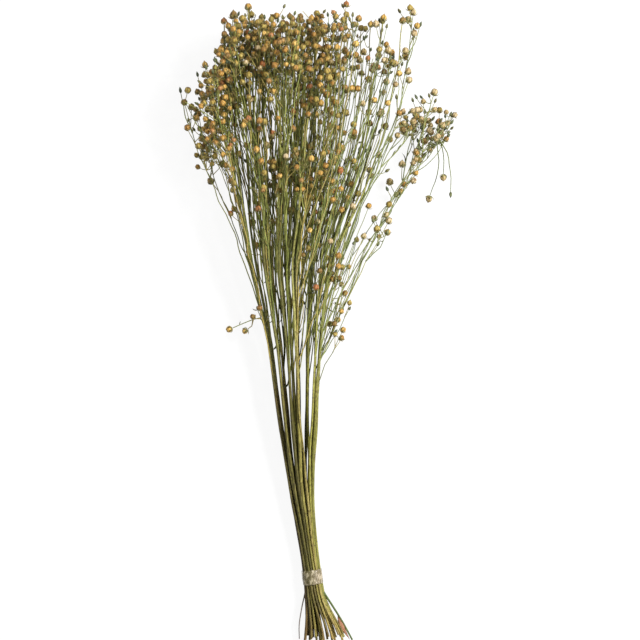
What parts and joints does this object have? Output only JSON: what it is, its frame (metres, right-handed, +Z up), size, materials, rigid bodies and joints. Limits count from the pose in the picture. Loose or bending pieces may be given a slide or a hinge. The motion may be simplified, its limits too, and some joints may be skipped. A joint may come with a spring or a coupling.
{
  "type": "dried flax bunch",
  "caption": "Tied bunch of dried flax lying on its side: stems held by a flat band that fan out into a loose head of round seed capsules on thin twigs.",
  "frame": {"origin": "bottom centre of the bounding box, on the surface the bunch lies on", "axes": "+Y along the stems towards the heads, +X across the head, +Z up from the surface the bunch lies on"},
  "size_m": [0.2722, 0.6432, 0.1105],
  "materials": {
    "flax": "dry plant, dull",
    "band": "thin wrinkled film, half clear"
  },
  "bodies": {
    "root": {"stem_01": "flax", "stem_02": "flax", "stem_03": "flax", "stem_04": "flax", "stem_05": "flax", "stem_06": "flax", "stem_07": "flax", "stem_08": "flax", "stem_09": "flax", "stem_10": "flax", "stem_11": "flax", "stem_12": "flax", "stem_13": "flax", "stem_14": "flax", "stem_15": "flax", "stem_16": "flax", "stem_17": "flax", "stem_18": "flax", "stem_19": "flax", "stem_20": "flax", "stem_21": "flax", "stem_22": "flax", "stem_23": "flax", "stem_24": "flax", "stem_25": "flax", "stem_26": "flax", "stem_27": "flax", "stem_28": "flax", "stem_29": "flax", "stem_30": "flax", "stem_31": "flax", "stem_32": "flax", "stem_33": "flax", "stem_34": "flax", "stem_35": "flax", "stem_36": "flax", "stem_37": "flax", "stem_38": "flax", "stem_39": "flax", "stem_40": "flax", "stem_41": "flax", "stem_42": "flax", "stem_43": "flax", "stem_44": "flax", "tie_band": "band"}
  },
  "joints": []
}
